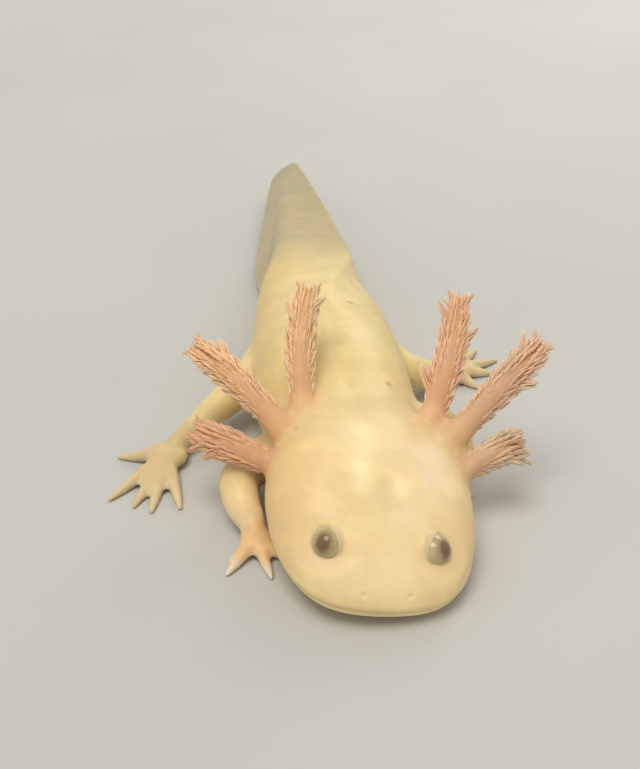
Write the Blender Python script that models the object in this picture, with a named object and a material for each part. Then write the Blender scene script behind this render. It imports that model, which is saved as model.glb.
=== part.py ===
"""A pale axolotl, life size, lying on the floor on its belly, hands, feet and tail.

Metres, +Z up, the floor at Z 0. The animal faces -Y, and its left side is at +X. Every shape is first placed
from the tip of the snout, in millimetres, and "along" is a distance back from there on the spine. An empty
then carries everything, so that the origin lies on the floor under the middle of the bounding box.
"""

import math

import bmesh
import bpy
import numpy as np
from mathutils import Matrix, Vector

MM = 0.001
GAP = 0.3  # mm between two neighbouring solids
BODY_SIDES = 26
TAIL_SIDES = 20
LIMB_SIDES = 10
LIMB_STEPS = 3  # sections of a limb between two of its given points
WRIST_REACH = 8.0  # how far the cut behind a hand or foot reaches to each side
STALK_BEVEL = 2  # 8 sides
DIGIT_BEVEL = 1  # 6 sides

# Where one length of the body ends and the next begins, mm along the spine.
HEAD_END = 42.0
NECK_END = 52.0
TRUNK_MIDDLE = 80.0
TRUNK_END = 112.0
TAIL_THIRD = 142.0
TAIL_TWO_THIRDS = 176.0
TAIL_FIN_MIDDLE = 160.0
TAIL_END = 209.0
FIN_END = 218.0

# The body's profiles: (mm along the spine, value in mm or degrees). HEADING turns the spine towards -X, and
# LEAN tips each section over towards +X.
HALF_WIDTH = ((0, 0.4), (0.8, 6.6), (2.4, 11.2), (5, 14.7), (9, 17.6), (14, 19.5), (20, 20.7), (27, 21.1),
              (33, 20.8), (38, 19.4), (43, 17.6), (49, 17.0), (57, 18.0), (66, 18.8), (78, 18.4), (90, 17.6),
              (102, 17.2), (112, 16.6), (122, 14.8), (133, 12.2), (147, 8.8), (165, 6.1), (185, 4.1),
              (209, 1.3))
RISE = ((0, 0.3), (0.8, 2.0), (2.4, 3.7), (5, 5.6), (10, 8.4), (18, 11.4), (28, 13.4), (40, 14.0), (50, 13.4),
        (62, 14.8), (76, 16.2), (90, 15.8), (102, 14.0), (114, 11.6), (130, 9.4), (147, 7.8), (170, 5.6),
        (190, 3.6), (209, 1.6))
DROP = ((0, 0.3), (0.8, 1.9), (2.4, 3.2), (5, 4.5), (10, 5.8), (16, 7.2), (30, 8.2), (38, 8.4), (50, 8.8),
        (60, 10.3), (76, 11.0), (92, 10.9), (104, 10.2), (116, 9.0), (130, 7.8), (147, 6.6), (170, 4.8),
        (190, 3.1), (209, 1.4))
SPINE_HEIGHT = ((0, 4.8), (6, 5.6), (14, 6.8), (28, 8.0), (38, 8.4), (50, 9.0), (62, 10.0), (78, 10.6),
                (94, 10.5), (104, 10.4), (116, 10.6), (130, 10.6), (147, 10.0), (170, 9.0), (195, 8.8),
                (218, 9.6))
HEADING = ((0, 5.0), (30, 6.0), (41, 12.0), (52, 12.0), (62, 9.0), (80, 5.0), (92, 4.0), (106, 4.5),
           (118, 9.0), (130, 10.5), (146, 8.0), (160, 5.0), (200, 5.0), (218, 2.0))
LEAN = ((0, 6), (34, 6), (44, 4), (60, 0), (90, 4), (102, 16), (112, 34), (122, 48), (134, 56), (152, 58),
        (218, 54))
# How square the sections are: 2 is an ellipse, and the head is fuller than that about its widest place.
SQUARENESS = 2.0
HEAD_SQUARENESS = 0.5
HEAD_SQUAREST = 22.0
HEAD_SQUARE_REACH = 26.0

# The fins' height over the back and under the tail.
BACK_FIN = ((82, 0.6), (96, 1.8), (108, 3.3), (120, 4.3), (132, 4.9), (147, 5.7), (165, 6.2), (185, 6.0),
            (204, 5.4), (213, 4.6), (217, 3.0), (218, 1.6))
TAIL_FIN = ((108, 0.6), (116, 2.6), (124, 4.7), (136, 7.2), (150, 8.2), (165, 7.8), (182, 6.8), (200, 5.8),
            (213, 4.6), (217, 3.0), (218, 1.6))
FIN_BASE_THICKNESS = 1.5
FIN_EDGE_THICKNESS = 0.6
FIN_MIDDLE = 0.45  # share of the fin's height where its sides bend
FIN_SHOULDER = 0.92  # share of the fin's height where its rounded edge begins
FIN_CLEARANCE = 0.4  # between the lower fin and the floor
FINS_MEET = 1.5  # this far behind the tail's core, the upper and the lower fin lie edge to edge

# Soft forms on the head: (along, to the side, above the spine, radius, how far it stands out), mm.
HEAD_FORMS = ((11.0, 10.5, 6.6, 4.6, 0.9),  # over each eye
              (28.0, 13.0, 8.5, 8.0, 1.2),  # jaw muscles
              (3.5, 8.5, 0.5, 6.0, 0.5),  # corners of the snout
              (14.0, 0.0, 9.5, 5.0, -0.6),  # the dip between the eyes
              (27.0, 0.0, 13.0, 5.5, -0.5),  # the furrow down the crown
              (6.0, 4.2, 5.2, 3.2, 0.3))  # each side of the nose

BEYOND = 30.0  # further than the head reaches from its own middle
EYES = {"left": (10.0, 9.6, 5.5), "right": (10.7, -10.4, 5.9)}  # along the spine, to its left, above it
EYE_RADIUS = 3.15
MOUTH_BELOW = 1.7  # how far the mouth lies under the spine, half-way to its corners
MOUTH_LENGTH = 22.0
MOUTH_RISE = 3.0  # degrees that the mouth climbs towards its corners

# Limbs: joints (x, y, z) and the limb's radius there, mm from the tip of the snout.
FORE_LIMBS = {
    "right": {"joints": ((-14.1, 53, 9), (-23.1, 45.6, 8.4), (-29.1, 37.4, 7.6), (-28.3, 31.2, 5.5),
                         (-25.9, 27, 3.4)),
              "radii": (5.2, 4.8, 4.6, 4.0, 2.8),
              "digits": ((-30.5, 18.8), (-30.8, 15.3), (-21.8, 14.3), (-17.1, 18.5)),
              "palm": (-25.3, 24.2)},
    "left": {"joints": ((2.9, 51.6, 10), (8.9, 54.8, 9.8), (15, 56.4, 8.4), (18.8, 52.2, 6),
                        (18.2, 46.8, 3.4)),
             "radii": (5.4, 4.8, 4.3, 3.6, 2.7),
             "digits": ((11.4, 40.6), (14.6, 36.8), (18.4, 36.6), (20.8, 40.8)),
             "palm": (16.4, 43.6)},
}
HIND_LIMBS = {
    "right": {"joints": ((-17.1, 97, 10), (-24.1, 86, 10), (-29.1, 74, 10), (-35.1, 66.5, 7.8),
                         (-41.6, 61, 4.4)),
              "radii": (6.6, 5.8, 4.7, 4.0, 2.9),
              "digits": ((-58.4, 55.1), (-57.9, 39.5), (-52.3, 37), (-48.3, 35.2), (-42.3, 36.4)),
              "palm": (-47.1, 53.5)},
    "left": {"joints": ((-5.1, 97, 10), (1, 88.5, 10), (7.6, 81.4, 8.8), (13.6, 82.2, 6.4), (17.4, 87, 4.4)),
             "radii": (6.6, 5.4, 4.5, 3.9, 2.9),
             "digits": ((27.9, 84.9), (32.7, 92.2), (34.2, 98.8), (29.4, 104), (21.9, 105)),
             "palm": (21.4, 90.5)},
}

# Gills: root, middle and tip of each stalk, mm from the tip of the snout; 1 is the uppermost of the three.
GILLS = {
    "left_1": ((9.4, 41.5, 15.5), (14.3, 49, 27), (17.3, 58, 38.8)),
    "left_2": ((11.9, 38.5, 12.5), (25.9, 45, 26.3), (33.8, 52, 31.4)),
    "left_3": ((13.4, 34, 9), (23.4, 36.4, 14.9), (28, 38.2, 15.6)),
    "right_1": ((-15.1, 42, 16), (-16.6, 53, 28.9), (-15.1, 62, 39.1)),
    "right_2": ((-17.4, 40, 14.5), (-29.3, 46.4, 26.1), (-38.6, 55, 29.2)),
    "right_3": ((-17.5, 34.5, 11), (-29.2, 36.6, 15.9), (-37.2, 40.6, 17.4)),
}
GILL_RADIUS = 3.0
GILL_TAPER = (0.78, 0.88, 0.42)  # share of the radius at the root, the middle and the tip
GILL_FACING = Vector((0, -0.8, 0.6))  # the broad side of every gill looks this way
FILAMENTS = 4  # coarse ones on each side of a stalk
FIRST_FILAMENT = 0.36  # share of the stalk's length
LAST_FILAMENT = 0.96
LONGEST_FILAMENT = 0.7
FILAMENT_LENGTH = 5.4
FILAMENT_RADII = (1.3, 1.0, 0.45)

PALM_HEIGHT = 2.1
PALM_FLAT = 0.3  # how far a palm would pass the floor, so that its underside is cut flat
PALM_RADIUS = {"hand": 3.6, "foot": 5.0}
DIGIT_START = 1.9  # height of a digit's root
DIGIT_TIP = 0.5  # height of its tip
DIGIT_ARCH = 0.35
DIGIT_RADIUS = {"hand": 1.6, "foot": 1.85}
DIGIT_TAPER = (1.0, 0.9, 0.66, 0.36)

HEAD_SECTIONS = (0.0, 0.5, 1.3, 2.6, 4.4, 6.6)  # close together at the snout, then evenly spaced
HEAD_SPACING = 3.4
FIN_SPACING = 6.0
# Lengths of the body behind the head: (name, from, to, spacing of the sections, sides).
BODY_LENGTHS = (("neck", HEAD_END, NECK_END, 3.3, BODY_SIDES),
                ("trunk_front", NECK_END, TRUNK_MIDDLE, 4.6, BODY_SIDES),
                ("trunk_rear", TRUNK_MIDDLE, TRUNK_END, 4.6, BODY_SIDES),
                ("tail_base", TRUNK_END, TAIL_THIRD, 6, TAIL_SIDES),
                ("tail_middle", TAIL_THIRD, TAIL_TWO_THIRDS, 6.8, TAIL_SIDES),
                ("tail_end", TAIL_TWO_THIRDS, TAIL_END, 6.6, TAIL_SIDES))
# Fins: (name, from, to, whether on top).
FINS = (("back_fin", BACK_FIN[0][0], TRUNK_END, True),
        ("tail_fin_upper_front", TRUNK_END, TAIL_FIN_MIDDLE, True),
        ("tail_fin_upper_rear", TAIL_FIN_MIDDLE, FIN_END, True),
        ("tail_fin_lower_front", TAIL_FIN[0][0], TAIL_FIN_MIDDLE, False),
        ("tail_fin_lower_rear", TAIL_FIN_MIDDLE, FIN_END, False))

SKIN = (0.86, 0.68, 0.36)
GILL_PINK = (0.66, 0.33, 0.17)
EYE_DARK = (0.10, 0.07, 0.04)
FIN_GREY = (0.56, 0.47, 0.27)


def profile(knots, along):
    """A smooth curve through the knots, read at a distance along the spine; it doesn't overshoot."""
    x, y = np.array(knots, float).T
    step = np.diff(x)
    slope = np.diff(y) / step
    product = slope[:-1] * slope[1:]
    inner = np.where(product > 0, 2 * product / (slope[:-1] + slope[1:] + 1e-12), 0)
    tangent = np.concatenate([[slope[0]], inner, [slope[-1]]])
    at = min(max(along, x[0]), x[-1])
    i = min(np.searchsorted(x, at, side="right") - 1, len(step) - 1)
    t = (at - x[i]) / step[i]
    return float(y[i] * (1 + 2 * t) * (1 - t) ** 2 + tangent[i] * step[i] * t * (1 - t) ** 2
                 + y[i + 1] * t * t * (3 - 2 * t) + tangent[i + 1] * step[i] * t * t * (t - 1))


def spine(along):
    """The frame of the spine at a distance along it: the point, the way to the left and the way up."""
    place = Vector((0, 0, 0))
    steps = max(int(along), 1)
    for i in range(steps):
        turn = math.radians(profile(HEADING, (i + 0.5) * along / steps))
        place += Vector((-math.sin(turn), math.cos(turn), 0)) * along / steps
    turn = math.radians(profile(HEADING, along))
    back = Vector((-math.sin(turn), math.cos(turn), 0))
    left = Vector((math.cos(turn), math.sin(turn), 0))
    lean = Matrix.Rotation(-math.radians(profile(LEAN, along)), 3, -back)
    place.z = profile(SPINE_HEIGHT, along)
    return place, lean @ left, lean @ Vector((0, 0, 1))


def head_form(along, side, height):
    """How far the soft forms push a point of the head's skin out."""
    push = 0.0
    for form_along, form_side, form_height, radius, out in HEAD_FORMS:
        off = Vector((along - form_along, abs(side) - form_side, height - form_height)).length
        push += out * math.exp(-(off / radius) ** 2)
    return push


def body_ring(along, sides, grow=0.0):
    """One section of the body: rounded above, flatter below, and level with the floor if it would pass it."""
    place, left, up = spine(along)
    width = profile(HALF_WIDTH, along) + grow
    rise = profile(RISE, along) + grow
    drop = profile(DROP, along) + grow
    squareness = SQUARENESS + HEAD_SQUARENESS * math.exp(-((along - HEAD_SQUAREST) / HEAD_SQUARE_REACH) ** 2)
    ring = []
    for k in range(sides):
        angle = 2 * math.pi * (k + 0.5) / sides
        across, above = math.cos(angle), math.sin(angle)
        x = width * math.copysign(abs(across) ** (2 / squareness), across)
        z = (rise if above > 0 else drop) * math.copysign(abs(above) ** (2 / squareness), above)
        point = place + left * x + up * z
        if along < NECK_END:
            outward = (left * across / max(width, 1) + up * above / max(rise, 1)).normalized()
            point += outward * head_form(along, x, z)
        if not grow:
            point.z = max(point.z, 0)
        ring.append(point)
    return ring


def material(name, colour, roughness):
    """A Principled material of one colour."""
    made = bpy.data.materials.new(name)
    made.use_nodes = True
    shader = made.node_tree.nodes["Principled BSDF"]
    shader.inputs["Base Color"].default_value = (*colour, 1)
    shader.inputs["Roughness"].default_value = roughness
    return made


def add_object(name, mesh, collection, look=None):
    """A new object of a mesh that is still in millimetres; it becomes metres here."""
    mesh.transform(Matrix.Scale(MM, 4))
    mesh.shade_smooth()
    made = bpy.data.objects.new(name, mesh)
    collection.objects.link(made)
    if look:
        mesh.materials.append(look)
    else:
        made.hide_render = True
        made.display_type = "WIRE"
    return made


def loft(rings):
    """A closed mesh through rings of equally many points, with a fan over each end."""
    shape = bmesh.new()
    rows = [[shape.verts.new(point) for point in ring] for ring in rings]
    sides = len(rows[0])
    for row, after in zip(rows, rows[1:]):
        for k in range(sides):
            shape.faces.new((row[k], row[(k + 1) % sides], after[(k + 1) % sides], after[k]))
    for row, turned in ((rows[0], True), (rows[-1], False)):
        middle = shape.verts.new(sum((vert.co for vert in row), Vector()) / sides)
        for k in range(sides):
            pair = (row[(k + 1) % sides], row[k]) if turned else (row[k], row[(k + 1) % sides])
            shape.faces.new((*pair, middle))
    bmesh.ops.recalc_face_normals(shape, faces=shape.faces)
    mesh = bpy.data.meshes.new("loft")
    shape.to_mesh(mesh)
    shape.free()
    return mesh


def stations(start, end, spacing):
    """Places along the spine, evenly spaced, with one at each end."""
    count = max(round((end - start) / spacing), 1)
    return [start + (end - start) * i / count for i in range(count + 1)]


def smooth_route(points, radii, per_stretch):
    """Points and radii on a Catmull-Rom curve through the given ones."""
    known = [Vector((*point, radius)) for point, radius in zip(points, radii)]
    known = [2 * known[0] - known[1], *known, 2 * known[-1] - known[-2]]
    route = []
    for a, b, c, d in zip(known, known[1:], known[2:], known[3:]):
        for i in range(per_stretch):
            t = i / per_stretch
            route.append(((2 * b) + (c - a) * t + (2 * a - 5 * b + 4 * c - d) * t ** 2
                          + (3 * b - a - 3 * c + d) * t ** 3) / 2)
    return [*route, known[-2]]


def tube(points, radii, per_stretch, bevel, round_end=True):
    """The mesh, in millimetres, of a curve whose thickness changes, with a rounded far end."""
    route = smooth_route([tuple(point) for point in points], radii, per_stretch)
    if round_end:
        last = route.pop()
        ahead = (last - route[-1]).normalized()
        radius = last[3]
        for share in (0.0, 0.62, 0.95):
            step = last + ahead * radius * share
            step[3] = radius * math.sqrt(1 - share ** 2)
            route.append(step)
    curve = bpy.data.curves.new("tube", "CURVE")
    curve.dimensions = "3D"
    curve.bevel_depth = 1.0
    curve.bevel_resolution = bevel
    curve.use_fill_caps = True
    line = curve.splines.new("POLY")
    line.points.add(len(route) - 1)
    for knot, step in zip(line.points, route):
        knot.co = (*step[:3], 1)
        knot.radius = step[3]
    holder = bpy.data.objects.new("tube", curve)
    bpy.context.scene.collection.objects.link(holder)
    bpy.context.view_layer.update()
    evaluated = holder.evaluated_get(bpy.context.evaluated_depsgraph_get())
    mesh = bpy.data.meshes.new_from_object(evaluated)
    bpy.data.objects.remove(holder)
    bpy.data.curves.remove(curve)
    shape = bmesh.new()
    shape.from_mesh(mesh)
    bmesh.ops.remove_doubles(shape, verts=shape.verts, dist=1e-4)
    bmesh.ops.recalc_face_normals(shape, faces=shape.faces)
    shape.to_mesh(mesh)
    shape.free()
    return mesh


def ball(place, radii, segments=12, rings=7):
    """The mesh of an ellipsoid, in millimetres."""
    shape = bmesh.new()
    bmesh.ops.create_uvsphere(shape, u_segments=segments, v_segments=rings, radius=1.0)
    stretch = Matrix.Translation(place) @ Matrix.Diagonal((*radii, 1))
    bmesh.ops.transform(shape, verts=shape.verts, matrix=stretch)
    mesh = bpy.data.meshes.new("ball")
    shape.to_mesh(mesh)
    shape.free()
    return mesh


def block(low, high):
    """The mesh of a box between two corners, in millimetres."""
    shape = bmesh.new()
    size = Vector(high) - Vector(low)
    middle = (Vector(high) + Vector(low)) / 2
    bmesh.ops.create_cube(shape, size=1.0, matrix=Matrix.Translation(middle) @ Matrix.Diagonal((*size, 1)))
    mesh = bpy.data.meshes.new("block")
    shape.to_mesh(mesh)
    shape.free()
    return mesh


def cut(piece, other, operation):
    """Adds an exact Boolean of another object to a piece."""
    modifier = piece.modifiers.new(other.name, "BOOLEAN")
    modifier.operation = operation
    modifier.solver = "EXACT"
    modifier.object = other


def body_length(name, start, end, spacing, sides, parts, look):
    """One length of the body, from one section of the spine to another."""
    rings = [body_ring(along, sides) for along in stations(start, end - GAP, spacing)]
    return add_object(name, loft(rings), parts, look)


def head_mesh():
    """The whole head, before the mouth and the eye sockets are cut."""
    places = [*HEAD_SECTIONS, *stations(HEAD_SECTIONS[-1] + HEAD_SPACING, HEAD_END - GAP, HEAD_SPACING)]
    return loft([body_ring(along, BODY_SIDES) for along in places])


def mouth_block(grow):
    """The space of the lower jaw: all below the mouth's plane, back to its corners."""
    place, left, up = spine(MOUTH_LENGTH / 2)
    mesh = block((-BEYOND, -BEYOND, -BEYOND), (BEYOND, MOUTH_LENGTH / 2 + grow, grow - MOUTH_BELOW))
    frame = Matrix((left, up.cross(left), up)).transposed().to_4x4()
    rise = Matrix.Rotation(math.radians(MOUTH_RISE), 4, "X")
    mesh.transform(Matrix.Translation(place) @ frame @ rise)
    return mesh


def add_head(parts, cutters, looks):
    """The head with its eye sockets, the lower jaw and the eyes."""
    head = add_object("head", head_mesh(), parts, looks["skin"])
    jaw = add_object("lower_jaw", head_mesh(), parts, looks["skin"])
    cut(head, add_object("mouth_cutter", mouth_block(GAP), cutters), "DIFFERENCE")
    cut(jaw, add_object("jaw_cutter", mouth_block(0), cutters), "INTERSECT")
    for name, (along, side, above) in EYES.items():
        place, left, up = spine(along)
        middle = place + left * side + up * above
        radii = (EYE_RADIUS, EYE_RADIUS, EYE_RADIUS)
        add_object("eye_" + name, ball(middle, radii), parts, looks["eye"])
        socket = ball(middle, [radius + GAP for radius in radii])
        cut(head, add_object("socket_" + name, socket, cutters), "DIFFERENCE")


def fin_rings(start, end, top):
    """A fin's sections: a blade that stands off the back, or hangs under the tail, and thins to its edge."""
    places = stations(start, min(end, TAIL_END), FIN_SPACING)
    if end > TAIL_END:
        places += stations(TAIL_END + FINS_MEET, end, 2 * FINS_MEET)
    rings = []
    for along in places:
        place, left, up = spine(along)
        reach = profile(RISE if top else DROP, along)
        inner = reach + GAP if along <= TAIL_END else GAP / 2
        height = profile(BACK_FIN if top else TAIL_FIN, along) + reach + GAP - inner
        base = min(FIN_BASE_THICKNESS, FIN_EDGE_THICKNESS + height / 2) / 2
        edge = FIN_EDGE_THICKNESS / 2
        way = up if top else -up
        ring = [place + left * base + way * inner,
                place + left * (base + edge) / 2 + way * (inner + height * FIN_MIDDLE),
                place + left * edge + way * (inner + height * FIN_SHOULDER),
                place + way * (inner + height),
                place - left * edge + way * (inner + height * FIN_SHOULDER),
                place - left * (base + edge) / 2 + way * (inner + height * FIN_MIDDLE),
                place - left * base + way * inner]
        rings.append([Vector((*point[:2], max(point[2], FIN_CLEARANCE))) for point in ring])
    return rings


def limb_ring(place, along, radius):
    """A round section of a limb, square to its direction."""
    left = along.cross(Vector((0, 0, 1))).normalized()
    up = left.cross(along).normalized()
    ring = []
    for k in range(LIMB_SIDES):
        angle = 2 * math.pi * k / LIMB_SIDES
        ring.append(place + (left * math.cos(angle) + up * math.sin(angle)) * radius)
    return ring


def limb_length(route, first, last):
    """A limb's mesh between two points of its route; both of its ends lie square to the route."""
    rings = []
    for i in range(first, last + 1):
        before, after = route[max(i - 1, 0)], route[min(i + 1, len(route) - 1)]
        along = Vector(after[:3]) - Vector(before[:3])
        along.normalize()
        shift = GAP / 2 * ((i == first and first > 0) - (i == last))
        rings.append(limb_ring(Vector(route[i][:3]) + along * shift, along, route[i][3]))
    return loft(rings)


def joined(name, meshes, parts, cutters, look):
    """One object of several meshes that overlap, by Boolean unions."""
    whole = add_object(name, meshes[0], parts, look)
    for i, mesh in enumerate(meshes[1:]):
        cut(whole, add_object(f"{name}_piece_{i}", mesh, cutters), "UNION")
    return whole


def digit(palm, tip, radius):
    """A finger or toe that arches from the palm to a fine tip on the floor."""
    start = Vector((*palm, DIGIT_START))
    reach = Vector((*tip, DIGIT_TIP)) - start
    knuckle = start + reach * 0.4 + Vector((0, 0, DIGIT_ARCH))
    radii = [radius * share for share in DIGIT_TAPER]
    return tube((start, knuckle, start + reach * 0.75, start + reach), radii, 1, DIGIT_BEVEL)


def add_limb(name, plan, hand, parts, cutters, look):
    """A limb in three nodes: upper, lower, and the hand or foot with its digits."""
    route = smooth_route(plan["joints"], plan["radii"], LIMB_STEPS)
    bend = 2 * LIMB_STEPS
    wrist = len(route) - 1
    for length, first, last in (("upper", 0, bend), ("lower", bend, wrist)):
        piece = add_object(f"{name}_{length}", limb_length(route, first, last), parts, look)
        cut(piece, bpy.data.objects["body_cutter"], "DIFFERENCE")
    end, before = Vector(route[-1][:3]), Vector(route[-2][:3])
    along = (end - before).normalized()
    palm = Vector((*plan["palm"], PALM_HEIGHT))
    wide = route[-1][3]
    stub = [limb_ring(end, along, wide), limb_ring((end + palm) / 2, along, wide * 0.95),
            limb_ring(palm, along, wide * 0.7)]
    broad = PALM_RADIUS[hand]
    meshes = [ball(palm, (broad, broad, PALM_HEIGHT + PALM_FLAT), 12, 6), loft(stub)]
    meshes += [digit(palm[:2], tip, DIGIT_RADIUS[hand]) for tip in plan["digits"]]
    whole = joined(f"{name}_{hand}", meshes, parts, cutters, look)
    away = block((-WRIST_REACH, -WRIST_REACH, -2 * WRIST_REACH), (WRIST_REACH, WRIST_REACH, 0))
    turn = along.to_track_quat("Z", "X").to_matrix().to_4x4()
    away.transform(Matrix.Translation(end + along * GAP / 2) @ turn)
    cut(whole, add_object(f"{name}_wrist_cutter", away, cutters), "DIFFERENCE")
    cut(whole, bpy.data.objects["floor_cutter"], "DIFFERENCE")


def add_gill(name, points, parts, cutters, look):
    """A gill: a stalk that tapers and two rows of coarse filaments, which lean towards its tip."""
    radii = [GILL_RADIUS * share for share in GILL_TAPER]
    meshes = [tube(points, radii, 3, STALK_BEVEL)]
    route = smooth_route(points, radii, 12)
    last = len(route) - 1
    for i in range(FILAMENTS):
        share = FIRST_FILAMENT + (LAST_FILAMENT - FIRST_FILAMENT) * i / (FILAMENTS - 1)
        at = round(share * last)
        ahead = Vector((route[min(at + 3, last)] - route[min(at, last - 3)])[:3]).normalized()
        across = ahead.cross(GILL_FACING).normalized()
        start = Vector(route[at][:3])
        long = FILAMENT_LENGTH * (1 - 0.35 * abs(share - LONGEST_FILAMENT))
        for side in (1, -1):
            way = (ahead * (0.8 + 0.5 * share) + across * side).normalized()
            places = (start, start + way * long / 2, start + way * long)
            meshes.append(tube(places, FILAMENT_RADII, 1, 0, False))
    whole = joined(name, meshes, parts, cutters, look)
    cut(whole, bpy.data.objects["body_cutter"], "DIFFERENCE")


def centre(parts, root):
    """Puts the origin on the floor under the middle of everything."""
    bpy.context.view_layer.update()
    graph = bpy.context.evaluated_depsgraph_get()
    corners = []
    for piece in parts.objects:
        if piece.type == "MESH":
            mesh = piece.evaluated_get(graph).to_mesh()
            corners += [vert.co.copy() for vert in mesh.vertices]
            piece.evaluated_get(graph).to_mesh_clear()
    for axis in (0, 1):
        values = [corner[axis] for corner in corners]
        root.location[axis] = -(min(values) + max(values)) / 2


def main():
    for old in list(bpy.data.objects):
        bpy.data.objects.remove(old)
    parts = bpy.data.collections.new("axolotl")
    cutters = bpy.data.collections.new("cutters")
    for collection in (parts, cutters):
        bpy.context.scene.collection.children.link(collection)
    looks = {"skin": material("skin", SKIN, 0.35), "gill": material("gill", GILL_PINK, 0.4),
             "eye": material("eye", EYE_DARK, 0.1), "fin": material("fin", FIN_GREY, 0.35)}

    add_object("floor_cutter", block((-FIN_END, -FIN_END, -BEYOND), (FIN_END, 2 * FIN_END, 0)), cutters)
    covered = stations(HEAD_SECTIONS[1], TAIL_THIRD, HEAD_SPACING)
    grown = [body_ring(along, BODY_SIDES, GAP) for along in covered]
    add_object("body_cutter", loft(grown), cutters)

    add_head(parts, cutters, looks)
    for name, start, end, spacing, sides in BODY_LENGTHS:
        body_length(name, start, end, spacing, sides, parts, looks["skin"])
    for name, start, end, top in FINS:
        add_object(name, loft(fin_rings(start, end - GAP, top)), parts, looks["fin"])
    for side, plan in FORE_LIMBS.items():
        add_limb("fore_" + side, plan, "hand", parts, cutters, looks["skin"])
    for side, plan in HIND_LIMBS.items():
        add_limb("hind_" + side, plan, "foot", parts, cutters, looks["skin"])
    for name, points in GILLS.items():
        add_gill("gill_" + name, points, parts, cutters, looks["gill"])

    root = bpy.data.objects.new("axolotl_root", None)
    parts.objects.link(root)
    centre(parts, root)
    for piece in [*parts.objects, *cutters.objects]:
        if piece != root:
            piece.parent = root


main()
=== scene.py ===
"""The looks of the pale axolotl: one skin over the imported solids, wet eyes, fringed gills, floor and light.

Lengths are in millimetres until a mesh is made. "Snout" coordinates are those of part.py: they start at the
tip of the snout, and "along" is a distance back from there on the spine.
"""

import math

import bmesh
import bpy
import numpy as np
import openvdb
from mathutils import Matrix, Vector
from mathutils.bvhtree import BVHTree


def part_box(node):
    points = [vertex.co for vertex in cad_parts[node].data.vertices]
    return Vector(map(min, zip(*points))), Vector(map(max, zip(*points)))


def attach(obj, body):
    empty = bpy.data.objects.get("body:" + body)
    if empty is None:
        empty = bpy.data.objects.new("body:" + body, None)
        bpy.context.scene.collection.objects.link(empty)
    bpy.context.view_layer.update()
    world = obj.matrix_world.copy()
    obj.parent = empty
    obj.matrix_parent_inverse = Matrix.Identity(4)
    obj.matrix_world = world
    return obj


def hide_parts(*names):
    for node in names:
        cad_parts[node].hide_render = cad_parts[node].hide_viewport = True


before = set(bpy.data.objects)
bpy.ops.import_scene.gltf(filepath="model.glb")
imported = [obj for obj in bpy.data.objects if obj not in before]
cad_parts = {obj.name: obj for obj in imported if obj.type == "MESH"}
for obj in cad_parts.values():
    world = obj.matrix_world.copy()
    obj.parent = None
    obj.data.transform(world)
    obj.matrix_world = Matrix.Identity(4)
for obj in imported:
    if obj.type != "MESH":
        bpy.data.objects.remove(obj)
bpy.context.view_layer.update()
MM = 0.001

# ---------------------------------------------------------------- the spine, as in part.py
SPINE_HEIGHT = ((0, 4.8), (6, 5.6), (14, 6.8), (28, 8.0), (38, 8.4), (50, 9.0), (62, 10.0), (78, 10.6),
                (94, 10.5), (104, 10.4), (116, 10.6), (130, 10.6), (147, 10.0), (170, 9.0), (195, 8.8),
                (218, 9.6))
HEADING = ((0, 5.0), (30, 6.0), (41, 12.0), (52, 12.0), (62, 9.0), (80, 5.0), (92, 4.0), (106, 4.5),
           (118, 9.0), (130, 10.5), (146, 8.0), (160, 5.0), (200, 5.0), (218, 2.0))
LEAN = ((0, 6), (34, 6), (44, 4), (60, 0), (90, 4), (102, 16), (112, 34), (122, 48), (134, 56), (152, 58),
        (218, 54))
EYES = {"left": (10.0, 9.6, 5.5), "right": (10.7, -10.4, 5.9)}  # along the spine, to its left, above it
EYE_RADIUS = 3.25
EYE_OPENING = {"left": 73.0, "right": 71.0}  # degrees from the middle of the opening to the skin's rim
EYE_OPENING_LONG = 6.0  # how much longer it is from front to back
OPENING_WAY = (0.72, 0.45, 0.54)  # outward, upward, forward
GAZE = {"left": (0.56, 0.56, 0.61), "right": (0.46, 0.60, 0.65)}  # outward, upward, forward
EYE_REACH = 1.8  # how far round the eyes the skin's faces are finer
RIM_THICK = 0.10
RIM_SLOPE = 30.0  # degrees over which the skin leaves the eyeball
RIM_SWELL = 0.06
LENS_PROUD = 0.18
MOUTH_BELOW = 1.7
MOUTH_LENGTH = 22.0
MOUTH_RISE = 3.0  # degrees
LENGTH = 218.0


def read(knots, along):
    """A table's value at distances along the spine."""
    x, y = np.array(knots, float).T
    return np.interp(along, x, y)


SPINE_STEP = 0.5
SPINE_BEYOND = 10  # how far the spine's table goes on past the snout and the tail
spine_at = np.arange(-SPINE_BEYOND, LENGTH + SPINE_BEYOND, SPINE_STEP)
turn = np.radians(read(HEADING, spine_at))
backward = np.stack([-np.sin(turn), np.cos(turn), np.zeros_like(turn)], 1)
spine_place = np.cumsum(backward, 0) * SPINE_STEP
spine_place -= spine_place[np.argmin(abs(spine_at))]
spine_place[:, 2] = read(SPINE_HEIGHT, spine_at)
lean = np.radians(read(LEAN, spine_at))
level = np.stack([np.cos(turn), np.sin(turn), np.zeros_like(turn)], 1)
upright = np.array([0, 0, 1.0])
spine_left = level * np.cos(lean)[:, None] - upright * np.sin(lean)[:, None]
spine_up = upright * np.cos(lean)[:, None] + level * np.sin(lean)[:, None]


def at_spine(table, along):
    """Rows of a table of the spine, between its steps."""
    return np.stack([np.interp(along, spine_at, table[:, k]) for k in range(3)], -1)


def box_middle(node):
    low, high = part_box(node)
    return np.array((low + high) / 2) / MM


def from_spine(along, side, above):
    """A place given along the spine, to its left and above it, in snout coordinates."""
    return (at_spine(spine_place, along) + at_spine(spine_left, along) * side
            + at_spine(spine_up, along) * above)


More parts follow.
